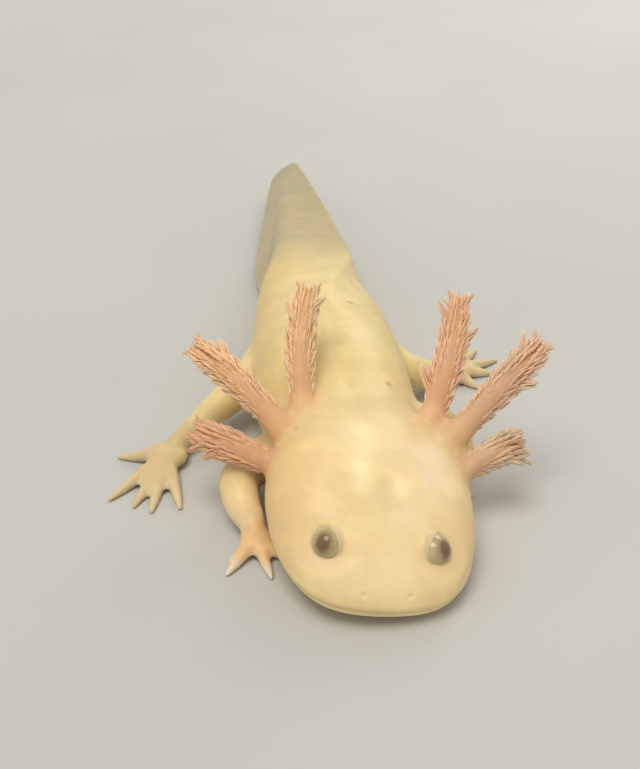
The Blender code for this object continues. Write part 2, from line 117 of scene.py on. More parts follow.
eye_middle = {name: box_middle("eye_" + name) for name in EYES}
ORIGIN = np.mean([eye_middle[name] - from_spine(*place) for name, place in EYES.items()], axis=0)
ORIGIN[2] = 0


def body_places(points):
    """(along the spine, to the left, above the spine) of points."""
    local = points - ORIGIN
    along = local[:, 1].copy()
    for _ in range(4):
        off = local - at_spine(spine_place, along)
        along += (off * at_spine(backward, along)).sum(1)
    off = local - at_spine(spine_place, along)
    return along, (off * at_spine(spine_left, along)).sum(1), (off * at_spine(spine_up, along)).sum(1)


def snout_to_world(point):
    return np.array(point, float) + ORIGIN


# ---------------------------------------------------------------- small helpers
def smoothstep(low, high, value):
    t = np.clip((value - low) / (high - low), 0, 1)
    return t * t * (3 - 2 * t)


def bump_at(value, middle, width):
    """1 at the middle, falling to 0 over about two widths."""
    return np.exp(-(((value - middle) / width) ** 2))


def waves(points, size, seed, octaves=3):
    """Smooth noise of points, about -1 to 1, with features of about that size in mm."""
    random = np.random.default_rng(seed)
    total = np.zeros(len(points))
    strength = 1.0
    for _ in range(octaves):
        for _ in range(5):
            way = random.normal(size=3)
            way /= np.linalg.norm(way)
            phase, stretch = random.uniform(0, 2 * math.pi), random.uniform(0.7, 1.4)
            bend = np.sin(points @ random.normal(size=3) / size * 0.8 + random.uniform(0, 6)) * 1.3
            total += strength * np.sin(points @ way * 2 * math.pi / (size * stretch) + phase + bend) / 5
        size, strength = size / 2.1, strength * 0.5
    return total


def mesh_object(name, points, faces, material, smooth=True):
    """A new object of points in mm."""
    mesh = bpy.data.meshes.new(name)
    corners = np.asarray(faces, np.int32)
    mesh.vertices.add(len(points))
    mesh.vertices.foreach_set("co", (np.asarray(points, np.float32) * MM).ravel())
    mesh.loops.add(corners.size)
    mesh.loops.foreach_set("vertex_index", corners.ravel())
    mesh.polygons.add(len(corners))
    mesh.polygons.foreach_set("loop_start", np.arange(len(corners), dtype=np.int32) * corners.shape[1])
    mesh.update(calc_edges=True)
    mesh.validate()
    if smooth:
        mesh.shade_smooth()
    mesh.materials.append(material)
    made = bpy.data.objects.new(name, mesh)
    bpy.context.scene.collection.objects.link(made)
    return made


def set_colours(mesh, name, colours):
    layer = mesh.attributes.new(name, "FLOAT_COLOR", "POINT")
    rows = np.ones((len(mesh.vertices), 4), np.float32)
    rows[:, :3] = colours
    layer.data.foreach_set("color", rows.ravel())


def set_values(mesh, name, values):
    mesh.attributes.new(name, "FLOAT", "POINT").data.foreach_set("value", np.asarray(values, np.float32))


def vertex_array(mesh):
    points = np.empty(len(mesh.vertices) * 3, np.float32)
    mesh.vertices.foreach_get("co", points)
    return points.reshape(-1, 3).astype(float) / MM


# ---------------------------------------------------------------- gills: routes as in part.py, from the snout
GILLS = {
    "left_1": ((9.4, 41.5, 15.5), (14.3, 49, 27), (17.3, 58, 38.8)),
    "left_2": ((11.9, 38.5, 12.5), (25.9, 45, 26.3), (33.8, 52, 31.4)),
    "left_3": ((13.4, 34, 9), (23.4, 36.4, 14.9), (28, 38.2, 15.6)),
    "right_1": ((-15.1, 42, 16), (-16.6, 53, 28.9), (-15.1, 62, 39.1)),
    "right_2": ((-17.4, 40, 14.5), (-29.3, 46.4, 26.1), (-38.6, 55, 29.2)),
    "right_3": ((-17.5, 34.5, 11), (-29.2, 36.6, 15.9), (-37.2, 40.6, 17.4)),
}
GILL_RADIUS = 3.0
GILL_TAPER = ((0, 0.78), (0.5, 0.88), (1, 0.42))  # share of the radius along the stalk
GILL_FLARE = 1.1  # how much wider a gill is where it leaves the head
GILL_FLARE_END = 0.30
GILL_STEPS = 41


def gill_route(points, count):
    """A smooth line through a gill's three points."""
    a, b, c = (snout_to_world(point) for point in points)
    t = np.linspace(0, 1, count)[:, None]
    mid = 2 * b - (a + c) / 2
    return (1 - t) ** 2 * a + 2 * t * (1 - t) * mid + t ** 2 * c


gill_lines = {name: gill_route(places, GILL_STEPS) for name, places in GILLS.items()}


# ---------------------------------------------------------------- the skin's shape
VOXEL = 0.36
CLOSING = 0.8  # gaps and creases narrower than twice this fill in
FIN_ROOT = 26.0  # the fins rise from the back and tail in hollows of about this radius
LIMB_ROOT = 2.2  # and the limbs and the neck join the trunk in hollows of this one
ROUNDS = 110  # of smoothing
RIPPLE_ROUNDS = 24
RIM_SPREAD = 2  # how far the rims of the fins are evened out either way
FIN_EASE = 0.8  # how much of the smoothing the fin on the back takes
TAIL_EASE = 0.75  # and the tail, the rims of its fins, and its tip
RIM_EASE = 0.35
TIP_EASE = 0.08
TAIL_STARTS = (90, 106)  # along the spine, from the first distance to the second
THIN_FINS_START = (112, 135)
TAIL_TIP_STARTS = (217, 208)  # here from the last distance back to the first
SKIN_TRIANGLES = 500_000
FLESH = sorted(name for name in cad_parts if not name.startswith("eye_"))
TAIL_PARTS = [name for name in FLESH if name.startswith(("trunk_rear", "tail", "back"))]
TRUNK_PARTS = [name for name in FLESH if name.startswith(("neck", "trunk")) or name.endswith("upper")]


def node_ease(name):
    """How much of the smoothing a node's part of the skin takes."""
    if "fin" in name:
        return FIN_EASE
    if name.startswith("gill"):
        return 0.10
    if name.endswith(("hand", "foot")):
        return 0.05
    if name.endswith(("upper", "lower")):
        return 0.25
    return 1.0


def triangles_of(names):
    """Points and triangles of some nodes, and which of the names each triangle is of."""
    points, triangles, owners, start = [], [], [], 0
    for index, name in enumerate(names):
        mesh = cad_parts[name].data
        mesh.calc_loop_triangles()
        corners = np.empty(len(mesh.loop_triangles) * 3, np.int32)
        mesh.loop_triangles.foreach_get("vertices", corners)
        points.append(vertex_array(mesh))
        triangles.append(corners.reshape(-1, 3) + start)
        owners += [index] * len(mesh.loop_triangles)
        start += len(mesh.vertices)
    return np.concatenate(points), np.concatenate(triangles), np.array(owners)


def closed_surface(points, triangles, radius, voxel, inset=0.0):
    """Solids as one surface: swollen by a radius, which closes gaps, then drawn back by it and an inset."""
    scale = openvdb.createLinearTransform(voxel)
    band = (radius + inset) / voxel + 1.5
    swollen = openvdb.FloatGrid.createLevelSetFromPolygons(
        points.astype(np.float32), triangles=triangles.astype(np.uint32), transform=scale, halfWidth=band)
    points, quads = swollen.convertToQuads(radius)
    drawn = openvdb.FloatGrid.createLevelSetFromPolygons(points, quads=quads, transform=scale, halfWidth=band)
    points, quads = drawn.convertToQuads(-radius - inset)
    points, quads = points.astype(float), quads.astype(np.int64)
    a, b, c, d = (points[quads[:, k]] for k in range(4))
    if (np.cross(c - a, d - b) * a).sum() < 0:
        quads = quads[:, ::-1]
    return largest_piece(points, quads)


def tube(line, radii, sides=16):
    """A closed tube round a line, as points and triangles."""
    points, triangles = [], []
    for k, (centre, radius) in enumerate(zip(line, radii)):
        ahead = line[min(k + 1, len(line) - 1)] - line[max(k - 1, 0)]
        ahead /= np.linalg.norm(ahead)
        across = np.cross(ahead, (0.0, -0.8, 0.6))
        across /= np.linalg.norm(across)
        other = np.cross(ahead, across)
        for side in range(sides):
            angle = 2 * math.pi * side / sides
            points.append(centre + (across * math.cos(angle) + other * math.sin(angle)) * radius)
    for k in range(len(line) - 1):
        for side in range(sides):
            a, b = k * sides + side, k * sides + (side + 1) % sides
            triangles += [(a, b, b + sides), (a, b + sides, a + sides)]
    last = (len(line) - 1) * sides
    for side in range(1, sides - 1):
        triangles += [(0, side + 1, side), (last, last + side, last + side + 1)]
    return np.array(points), np.array(triangles)


def whole_surface(points, triangles):
    """All the flesh as one surface, with hollows filled where fins, limbs and gills rise from the body."""
    extras = []
    for names, radius, voxel in ((TAIL_PARTS, FIN_ROOT, 0.8), (TRUNK_PARTS, LIMB_ROOT, 0.5)):
        filled, quads = closed_surface(*triangles_of(names)[:2], radius, voxel, 0.2)
        extras.append((filled, np.concatenate([quads[:, [0, 1, 2]], quads[:, [0, 2, 3]]])))
    for line in gill_lines.values():
        share = np.linspace(0, 1, len(line))
        flared = share < GILL_FLARE_END
        radii = (GILL_RADIUS * read(GILL_TAPER, share)
                 + GILL_FLARE * smoothstep(GILL_FLARE_END, 0.06, share) - 0.1)
        extras.append(tube(line[flared], radii[flared]))
    extras.append(triangles_of(["eye_" + name for name in EYES])[:2])
    for more_points, more_triangles in extras:
        triangles = np.concatenate([triangles, more_triangles + len(points)])
        points = np.concatenate([points, more_points])
    return closed_surface(points, triangles, CLOSING, VOXEL)


def largest_piece(points, quads):
    """Leaves out any closed pocket or crumb beside the main surface."""
    label = np.arange(len(points))
    while True:
        lowest = label[quads].min(1)
        after = label.copy()
        for k in range(4):
            np.minimum.at(after, quads[:, k], lowest)
        after = after[after]
        if (after == label).all():
            break
        label = after
    names, counts = np.unique(label, return_counts=True)
    keep = label == names[np.argmax(counts)]
    number = np.cumsum(keep) - 1
    return points[keep], number[quads[keep[quads[:, 0]]]]


def edges_of(quads):
    pairs = np.concatenate([quads[:, [k, (k + 1) % 4]] for k in range(4)])
    return np.unique(np.sort(pairs, axis=1), axis=0)


def averaged(values, edges, degree):
    """Each vertex's mean over its neighbours."""
    start, end = edges[:, 0], edges[:, 1]
    count = len(degree)
    if values.ndim == 1:
        return (np.bincount(start, values[end], count) + np.bincount(end, values[start], count)) / degree
    return np.stack([averaged(values[:, k], edges, degree) for k in range(values.shape[1])], 1)


def normals_of(points, quads):
    a, b, c, d = (points[quads[:, k]] for k in range(4))
    face = np.cross(c - a, d - b)
    total = np.zeros_like(points)
    for axis in range(3):
        for k in range(4):
            total[:, axis] += np.bincount(quads[:, k], face[:, axis], len(points))
    return total / np.maximum(np.linalg.norm(total, axis=1), 1e-9)[:, None]


cad_points, cad_triangles, cad_owner = triangles_of(FLESH)
cad_tree = BVHTree.FromPolygons(cad_points.tolist(), cad_triangles.tolist())


def owners_of(points):
    """Index in FLESH of the node nearest to each point."""
    return np.array([cad_owner[cad_tree.find_nearest(point)[2]] for point in points.tolist()])


def tail_rims(points, chosen):
    """For each point the height of the fins' upper and lower rims there, over the spine."""
    along, _, above = body_places(points)
    place = np.clip(along[chosen], 0, LENGTH).astype(int)
    steps = np.arange(int(LENGTH) + 1)
    rims = []
    for sign in (1, -1):
        rim = np.zeros(len(steps))
        np.maximum.at(rim, place, sign * above[chosen])
        rim = np.convolve(np.pad(rim, RIM_SPREAD, "edge"), np.ones(2 * RIM_SPREAD + 1), "valid")
        rims.append(sign * np.interp(along, steps + 0.5, rim / (2 * RIM_SPREAD + 1)))
    return rims


points, quads = whole_surface(cad_points, cad_triangles)
edges = edges_of(quads)
degree = np.bincount(edges.ravel(), minlength=len(points)).astype(float)
owner = owners_of(points)
ease = np.array([node_ease(name) for name in FLESH])[owner]
along, side, above = body_places(points)
on_tail = np.isin(owner, [FLESH.index(name) for name in TAIL_PARTS])
upper_rim, lower_rim = tail_rims(points, on_tail)
from_rim = np.minimum(upper_rim - above, above - lower_rim)
thin_fin = smoothstep(3.5, 0.8, from_rim) * smoothstep(*THIN_FINS_START, along)
rim_ease = TIP_EASE + (TAIL_EASE - (TAIL_EASE - RIM_EASE) * thin_fin) * smoothstep(*TAIL_TIP_STARTS, along)
ease = np.where(on_tail, ease + (rim_ease - ease) * smoothstep(*TAIL_STARTS, along), ease)
for _ in range(20):
    ease = 0.5 * ease + 0.5 * averaged(ease, edges, degree)
for _ in range(ROUNDS):
    points += (averaged(points, edges, degree) - points) * (0.5 * ease)[:, None]
# smoothing lowers the thin fins: their height is given back
along, side, above = body_places(points)
eased_upper, eased_lower = tail_rims(points, on_tail)
given_back = ((upper_rim - eased_upper) * smoothstep(0.3, 1, above / np.maximum(eased_upper, 1))
              + (lower_rim - eased_lower) * smoothstep(0.3, 1, above / np.minimum(eased_lower, -1)))
given_back *= smoothstep(*THIN_FINS_START, along) * smoothstep(*TAIL_TIP_STARTS, along) * on_tail
points += at_spine(spine_up, along) * given_back[:, None]
for _ in range(RIPPLE_ROUNDS):  # takes away ripples without shrinking anything
    for step in (0.5, -0.53):
        points += (averaged(points, edges, degree) - points) * step
points[:, 2] = np.maximum(points[:, 2], 0)

# ---------------------------------------------------------------- the skin's folds: depths in mm
HEAD_NODES = ("head", "lower_jaw")
BODY_NODES = (*HEAD_NODES, "neck", "trunk_front", "trunk_rear", "tail_base", "tail_middle", "tail_end")
MOUTH_CUT = 0.24
UPPER_LIP = 0.14
LOWER_LIP = 0.10
NOSTRIL = (5.0, 4.4, -0.5)  # where its ray starts: along the spine, to the side, above it
NOSTRIL_DEPTH = 0.42
FIRST_GROOVE = 57
GROOVE_SPACING = 5.6
GROOVE_DEPTH = 0.09
THROAT_FOLD = 40.5
THROAT_FOLD_DEPTH = 0.5
FURROW_DEPTH = 0.22  # along the middle of the back
SWELL_HEIGHT = 0.14
SWELL_SIZE = 13.0

along, side, above = body_places(points)
normal = normals_of(points, quads)
is_head = np.isin(owner, [FLESH.index(name) for name in HEAD_NODES]).astype(float)
is_body = np.isin(owner, [FLESH.index(name) for name in BODY_NODES]).astype(float)
for _ in range(4):
    is_head = averaged(is_head, edges, degree)
    is_body = averaged(is_body, edges, degree)


def mouth_distance(points):
    """Height of points over the mouth's plane, and how far they are behind the middle of the mouth."""
    half = MOUTH_LENGTH / 2
    place, left, up = (at_spine(table, half) for table in (spine_place, spine_left, spine_up))
    back = np.cross(up, left)
    rise = math.radians(MOUTH_RISE)
    tilted_up = up * math.cos(rise) - back * math.sin(rise)
    off = points - ORIGIN - place
    return off @ tilted_up + MOUTH_BELOW, off @ back


over_mouth, behind = mouth_distance(points)
lips = is_head * smoothstep(MOUTH_LENGTH / 2 + 1.5, MOUTH_LENGTH / 2 - 1.5, behind)
mouth_line = bump_at(over_mouth, 0.1, 0.34) * lips
depth = np.zeros(len(points))
depth -= MOUTH_CUT * mouth_line
depth += UPPER_LIP * bump_at(over_mouth, 1.25, 0.8) * lips
depth += LOWER_LIP * bump_at(over_mouth, -1.0, 0.8) * lips

skin_tree = BVHTree.FromPolygons(points.tolist(), quads.tolist())
for nose_side in (-1, 1):
    start = ORIGIN + from_spine(NOSTRIL[0], NOSTRIL[1] * nose_side, NOSTRIL[2])
    way = at_spine(spine_up, 3.0) * 0.62 - at_spine(backward, 3.0) * 0.78
    spot = np.array(skin_tree.ray_cast(Vector(start), Vector(way))[0])
    to_nostril = np.linalg.norm(points - spot, axis=1)
    depth -= NOSTRIL_DEPTH * bump_at(to_nostril, 0, 0.42)
    depth += 0.05 * bump_at(to_nostril, 0.95, 0.35)  # its faint rim

flank = smoothstep(2.0, 9.0, abs(side)) * is_body
grooves = np.cos((along - FIRST_GROOVE) / GROOVE_SPACING * 2 * math.pi) ** 5
low_flank = smoothstep(12.5, 6.0, above) * smoothstep(-9.0, -3.0, above)
on_ribs = smoothstep(FIRST_GROOVE, FIRST_GROOVE + 4, along) * smoothstep(104, 92, along)
depth -= GROOVE_DEPTH * np.clip(grooves, 0, 1) * flank * low_flank * on_ribs
throat_fold = bump_at(along, THROAT_FOLD + 0.08 * abs(side), 0.7) * smoothstep(2, -3, above)
depth -= THROAT_FOLD_DEPTH * throat_fold * is_body
on_back = smoothstep(0, 6, above) * smoothstep(30, 50, along) * smoothstep(88, 76, along)
depth -= FURROW_DEPTH * bump_at(side, 0, 1.3) * on_back * is_body
swell = smoothstep(6, 20, along) * (1 - 0.8 * smoothstep(88, 120, along))
depth += SWELL_HEIGHT * waves(points, SWELL_SIZE, 5, 1) * swell * is_body
depth *= smoothstep(0.0, 0.9, points[:, 2])  # the flats on the floor stay flat
points += normal * depth[:, None]
points[:, 2] = np.maximum(points[:, 2], 0)
for _ in range(2):
    points += (averaged(points, edges, degree) - points) * (0.12 * np.minimum(ease * 4, 1))[:, None]


# ---------------------------------------------------------------- materials
MOTTLE = (0.82, 0.52, 0.27)
FRECKLE = (0.36, 0.24, 0.09)


def node(tree, kind, **settings):
    made = tree.nodes.new(kind)
    for name, value in settings.items():
        if name in made.inputs:
            made.inputs[name].default_value = value
        else:
            setattr(made, name, value)
    return made


def principled(name, **sockets):
    material = bpy.data.materials.new(name)
    material.use_nodes = True
    shader = material.node_tree.nodes["Principled BSDF"]
    for socket, value in sockets.items():
        shader.inputs[socket.replace("_", " ")].default_value = value
    return material, material.node_tree, shader


def mapped_range(tree, source, low, high, to_low, to_high):
    made = node(tree, "ShaderNodeMapRange")
    tree.links.new(source, made.inputs["Value"])
    for socket, value in zip(("From Min", "From Max", "To Min", "To Max"), (low, high, to_low, to_high)):
        made.inputs[socket].default_value = value
    return made.outputs["Result"]


def feed(tree, socket, value):
    """Gives a socket another socket, a number or a colour."""
    if isinstance(value, bpy.types.NodeSocket):
        tree.links.new(value, socket)
    elif isinstance(value, (int, float)):
        socket.default_value = value
    else:
        socket.default_value = (*value, 1)


def mixed(tree, factor, first, second):
    """Two colours mixed by a factor."""
    made = node(tree, "ShaderNodeMix", data_type="RGBA")
    for value, socket in ((factor, made.inputs[0]), (first, made.inputs[6]), (second, made.inputs[7])):
        feed(tree, socket, value)
    return made.outputs[2]


def scaled(tree, colour, factor):
    """A colour made lighter or darker."""
    made = node(tree, "ShaderNodeVectorMath", operation="SCALE")
    feed(tree, made.inputs[0], colour)
    feed(tree, made.inputs["Scale"], factor)
    return made.outputs["Vector"]


def combined(tree, operation, *values):
    """What a math node makes of numbers and sockets."""
    made = node(tree, "ShaderNodeMath", operation=operation)
    for value, socket in zip(values, made.inputs):
        feed(tree, socket, value)
    return made.outputs["Value"]


def attribute(tree, name, output="Fac"):
    return node(tree, "ShaderNodeAttribute", attribute_name=name).outputs[output]


def noise_of(tree, scale, detail=3.0, roughness=0.5, seed=0.0):
    place = node(tree, "ShaderNodeTexCoord")
    moved = node(tree, "ShaderNodeMapping")
    moved.inputs["Location"].default_value = (seed, seed * 0.7, -seed)
    tree.links.new(place.outputs["Object"], moved.inputs["Vector"])
    made = node(tree, "ShaderNodeTexNoise", Scale=scale, Detail=detail, Roughness=roughness)
    tree.links.new(moved.outputs["Vector"], made.inputs["Vector"])
    return made.outputs["Fac"]


def freckles(tree, place):
    """Small round dots in some of a pattern's cells, where the skin is freckled."""
    spots = node(tree, "ShaderNodeTexVoronoi", feature="F1", Scale=150.0, Randomness=1.0)
    tree.links.new(place, spots.inputs["Vector"])
    cell = node(tree, "ShaderNodeSeparateColor")
    tree.links.new(spots.outputs["Color"], cell.inputs["Color"])
    chosen = combined(tree, "GREATER_THAN", cell.outputs["Red"], 0.72)
    dot = mapped_range(tree, spots.outputs["Distance"], 0.07, 0.16, 1.0, 0.0)
    return combined(tree, "MULTIPLY", combined(tree, "MULTIPLY", dot, chosen), attribute(tree, "freckled"))


def fine_relief(tree, place):
    """The normal of skin with pores and fine wrinkles."""
    pores = node(tree, "ShaderNodeTexVoronoi", feature="SMOOTH_F1", Scale=1900.0, Smoothness=0.6)
    tree.links.new(place, pores.inputs["Vector"])
    wrinkle = noise_of(tree, 700.0, 3.0, 0.5, 11.0)
    height = combined(tree, "MULTIPLY_ADD", pores.outputs["Distance"], 0.35, wrinkle)
    bump = node(tree, "ShaderNodeBump", Strength=0.16, Distance=0.0002)
    tree.links.new(height, bump.inputs["Height"])
    return bump.outputs["Normal"]


def skin_material(name, gloss, glow, depth, rougher=0.0):
    """Wet skin: the painted base, mottling, freckles, pores and a moist gloss."""
    material, tree, shader = principled(
        name, Roughness=0.36, IOR=1.38, Subsurface_Weight=glow, Subsurface_Radius=(1.0, 0.52, 0.26),
        Subsurface_Scale=depth, Coat_Weight=gloss, Coat_Roughness=0.22, Coat_IOR=1.33,
        Specular_IOR_Level=0.36)
    cloud = mapped_range(tree, noise_of(tree, 90.0, 4.0, 0.55), 0.35, 0.68, 0.0, 1.0)
    warmer = mapped_range(tree, cloud, 0, 1, 0.0, 0.15)
    colour = mixed(tree, warmer, attribute(tree, "skin_colour", "Color"), MOTTLE)
    paler = mapped_range(tree, noise_of(tree, 170.0, 3.0, 0.5, 19.0), 0.46, 0.72, 0.0, 0.6)
    colour = mixed(tree, paler, colour, scaled(tree, colour, 1.16))
    grain = mapped_range(tree, noise_of(tree, 420.0, 4.0, 0.5, 3.0), 0.3, 0.7, 0.98, 1.02)
    colour = scaled(tree, colour, grain)
    place = node(tree, "ShaderNodeTexCoord").outputs["Object"]
    colour = mixed(tree, freckles(tree, place), colour, FRECKLE)
    tree.links.new(colour, shader.inputs["Base Color"])
    dull = mapped_range(tree, noise_of(tree, 160.0, 4.0, 0.6, 7.0), 0.3, 0.7, 0.34 + rougher, 0.50 + rougher)
    duller = combined(tree, "MULTIPLY_ADD", attribute(tree, "gill_share"), 0.14, dull)
    tree.links.new(duller, shader.inputs["Roughness"])
    tree.links.new(fine_relief(tree, place), shader.inputs["Normal"])
    return material


skin_look = skin_material("wet_skin", 0.16, 0.28, 0.0022)

# ---------------------------------------------------------------- the skin's colours, linear
CREAM = np.array([0.840, 0.660, 0.335])
CHEEK = np.array([0.790, 0.540, 0.240])
SNOUT = np.array([0.845, 0.660, 0.332])
NAPE = np.array([0.745, 0.590, 0.282])
TRUNK = np.array([0.770, 0.620, 0.282])
# Flanks: a deeper yellow than the back, and darker as painted shade on the sides
FLANK_TINT_AND_SHADE = np.array([0.730, 0.550, 0.228])
BELLY = np.array([0.840, 0.670, 0.430])
# Tail colours: painted haze and shade, darker and greyer than the skin's own colour
TAIL = np.array([0.460, 0.385, 0.210])
TAIL_TIP = np.array([0.410, 0.365, 0.215])
ARM = np.array([0.740, 0.460, 0.200])
FOOT = np.array([0.640, 0.500, 0.260])
TOE = np.array([0.640, 0.540, 0.340])
FINGER_TIP = np.array([0.800, 0.700, 0.560])
PALE = np.array([0.980, 0.840, 0.500])
PEACH = np.array([0.800, 0.550, 0.270])
PINK = np.array([0.900, 0.735, 0.520])
TAN = np.array([0.730, 0.550, 0.280])
# painted shadow in the crease where the skin meets the eyeball
EYE_RIM_SHADOW = np.array([0.500, 0.390, 0.230])
# under each eye: a pink tint, partly painted shade beneath the eyeball
EYE_PINK_AND_SHADOW = np.array([0.800, 0.520, 0.310])
# the first two pale spots, on the forehead, and the pale one on the crown are painted highlights
HEAD_SPOTS_AND_HIGHLIGHTS = (  # along, to the left, how far each way, colour, strength
    (23.0, -3.6, 3.4, 1.8, PALE, 0.85), (19.5, 3.7, 2.0, 1.3, PALE, 0.7), (20.5, 0.5, 4.2, 1.6, TAN, 0.4),
    (33.0, -2.0, 7.0, 4.5, PALE, 0.45), (25.0, 11.5, 8.0, 5.0, PINK, 0.65),
    (24.0, -12.0, 7.0, 4.5, PEACH, 0.45), (3.0, 0.0, 4.0, 8.0, PALE, 0.35), (14.0, 5.0, 3.0, 3.0, PINK, 0.35),
    (32.0, 8.0, 4.0, 3.0, PEACH, 0.3), (15.0, -5.5, 3.0, 3.0, PEACH, 0.25))
GILL_ROOT = np.array([0.780, 0.500, 0.250])
GILL = np.array([0.740, 0.425, 0.238])
GILL_TIP = np.array([0.860, 0.690, 0.510])
GILL_TINTS = {"left_1": (0.98, 0.97, 0.97), "left_2": (0.90, 0.94, 1.00), "left_3": (0.85, 0.95, 1.00),
              "right_1": (1.01, 1.06, 0.94), "right_2": (0.99, 1.01, 0.93), "right_3": (0.89, 0.83, 0.79)}
LIP_LINE = np.array([0.420, 0.260, 0.120])


def mix_in(colours, target, share):
    share = np.clip(share, 0, 1)[:, None]
    return colours * (1 - share) + np.asarray(target) * share


def group_share(owner, edges, degree, names, rounds=10):
    share = np.isin(owner, [FLESH.index(name) for name in FLESH if name.startswith(names)]).astype(float)
    for _ in range(rounds):
        share = 0.4 * share + 0.6 * averaged(share, edges, degree)
    return share


def skin_colours(points, owner, edges, degree):
    """The markings, with painted highlights, shade and haze: painted by where a point is on the animal."""
    along, side, above = body_places(points)
    colours = np.tile(CREAM, (len(points), 1))
    colours = mix_in(colours, NAPE, smoothstep(30, 42, along))
    colours = mix_in(colours, TRUNK, smoothstep(44, 58, along))
    limbs = group_share(owner, edges, degree, ("fore_", "hind_"))
    # the flanks' deeper yellow, partly painted shade on the sides
    colours = mix_in(colours, FLANK_TINT_AND_SHADE, smoothstep(9, 17, abs(side)) * smoothstep(48, 60, along) * (1 - limbs))
    cheek = smoothstep(9, 17, abs(side)) * smoothstep(4, 16, along) * smoothstep(60, 40, along) * (1 - limbs)
    colours = mix_in(colours, CHEEK, (0.75 - 0.3 * (side > 0)) * cheek)
    colours = mix_in(colours, SNOUT, smoothstep(9, 2, along))
    # spots of tint on the head, some of them painted highlights on the forehead and crown
    for spot_along, spot_side, reach_along, reach_side, colour, strength in HEAD_SPOTS_AND_HIGHLIGHTS:
        spot = np.exp(-((along - spot_along) / reach_along) ** 2 - ((side - spot_side) / reach_side) ** 2)
        colours = mix_in(colours, colour, strength * spot * smoothstep(-1, 3, above))
    # painted haze and shade: the tail dims to darker, greyer colours towards its tip
    colours = mix_in(colours, TAIL, smoothstep(100, 140, along))
    colours = mix_in(colours, TAIL_TIP, smoothstep(150, 205, along))
    colours = mix_in(colours, BELLY, 0.7 * smoothstep(-1, -7, above) * smoothstep(150, 110, along))
    arm = group_share(owner, edges, degree, ("fore_right_hand", "fore_left_hand"), 16)
    forearm = group_share(owner, edges, degree, ("fore_right_lower", "fore_left_lower"), 24)
    colours = mix_in(colours, ARM, 0.75 * arm + 0.12 * forearm)
    feet = group_share(owner, edges, degree, ("hind_right_foot", "hind_left_foot"), 16)
    colours = mix_in(colours, FOOT, feet)
    colours = mix_in(colours, TOE, 0.8 * feet * smoothstep(3.0, 1.4, points[:, 2]))
    for hand in ("fore_right_hand", "fore_left_hand"):
        reach = np.linalg.norm((points - box_middle(hand))[:, :2], axis=1)
        tips = arm * smoothstep(4.6, 7.2, reach) * smoothstep(2.4, 1.2, points[:, 2])
        colours = mix_in(colours, FINGER_TIP, 0.7 * tips)
    share, off_line, tint = gill_places(points)
    on_gill = group_share(owner, edges, degree, ("gill_",), 10)
    round_gills = group_share(owner, edges, degree, ("gill_", "head", "neck"), 6)
    on_gill = np.maximum(on_gill, round_gills * smoothstep(4.6, 3.2, off_line))
    gills = on_gill * smoothstep(0.0, 0.30, share)
    colours = mix_in(colours, GILL_ROOT, 0.45 * smoothstep(7.5, 2.0, off_line) * (1 - limbs) * (along < 60))
    colours = mix_in(colours, GILL * tint, gills)
    for name in EYES:
        outward, upward, _ = eye_directions(name)
        off = points - eye_middle[name]
        distance = np.linalg.norm(off, axis=1)
        low = smoothstep(1.5, -2.5, off @ upward)
        # painted shadow round the eyeball, in the crease at the skin's rim
        colours = mix_in(colours, EYE_RIM_SHADOW, 0.45 * smoothstep(EYE_RADIUS + 0.60, EYE_RADIUS + 0.1, distance))
        # under each eye: pink tint and painted shade beneath the eyeball
        colours = mix_in(colours, EYE_PINK_AND_SHADOW, 0.4 * low * bump_at(distance, EYE_RADIUS + 1.2, 1.1))
    over, behind = mouth_distance(points)
    lips = smoothstep(MOUTH_LENGTH / 2 + 1.5, MOUTH_LENGTH / 2 - 1.5, behind) * (along < 30)
    colours = mix_in(colours, LIP_LINE, 0.21 * bump_at(over, 0.1, 0.35) * lips)
    colours = mix_in(colours, PALE, 0.45 * bump_at(over, -1.2, 0.9) * lips)
    colours *= (1 + 0.03 * waves(points, 16.0, 21))[:, None]
    freckled = smoothstep(4, 10, above) * smoothstep(4, 14, along) * smoothstep(135, 100, along)
    patches = 0.2 + 0.25 * (waves(points, 30.0, 33) > 0.1)
    freckled = np.clip(freckled * patches, 0, 1) * (1 - limbs) * (1 - gills)
    return colours, freckled, gills


def gill_places(points):
    """For each point the share along the nearest gill's line, the distance from it, and that gill's tint."""
    best, share = np.full(len(points), 1e9), np.zeros(len(points))
    tint = np.ones((len(points), 3))
    for name, line in gill_lines.items():
        for k, place in enumerate(line):
            distance = np.linalg.norm(points - place, axis=1)
            nearer = distance < best
            best[nearer], share[nearer] = distance[nearer], k / (len(line) - 1)
            tint[nearer] = GILL_TINTS[name]
    return share, best, tint


def eye_directions(name):
    """The outward, upward and forward directions at an eye."""
    along, side, _ = EYES[name]
    outward = at_spine(spine_left, along) * np.sign(side)
    return outward, at_spine(spine_up, along), -at_spine(backward, along)


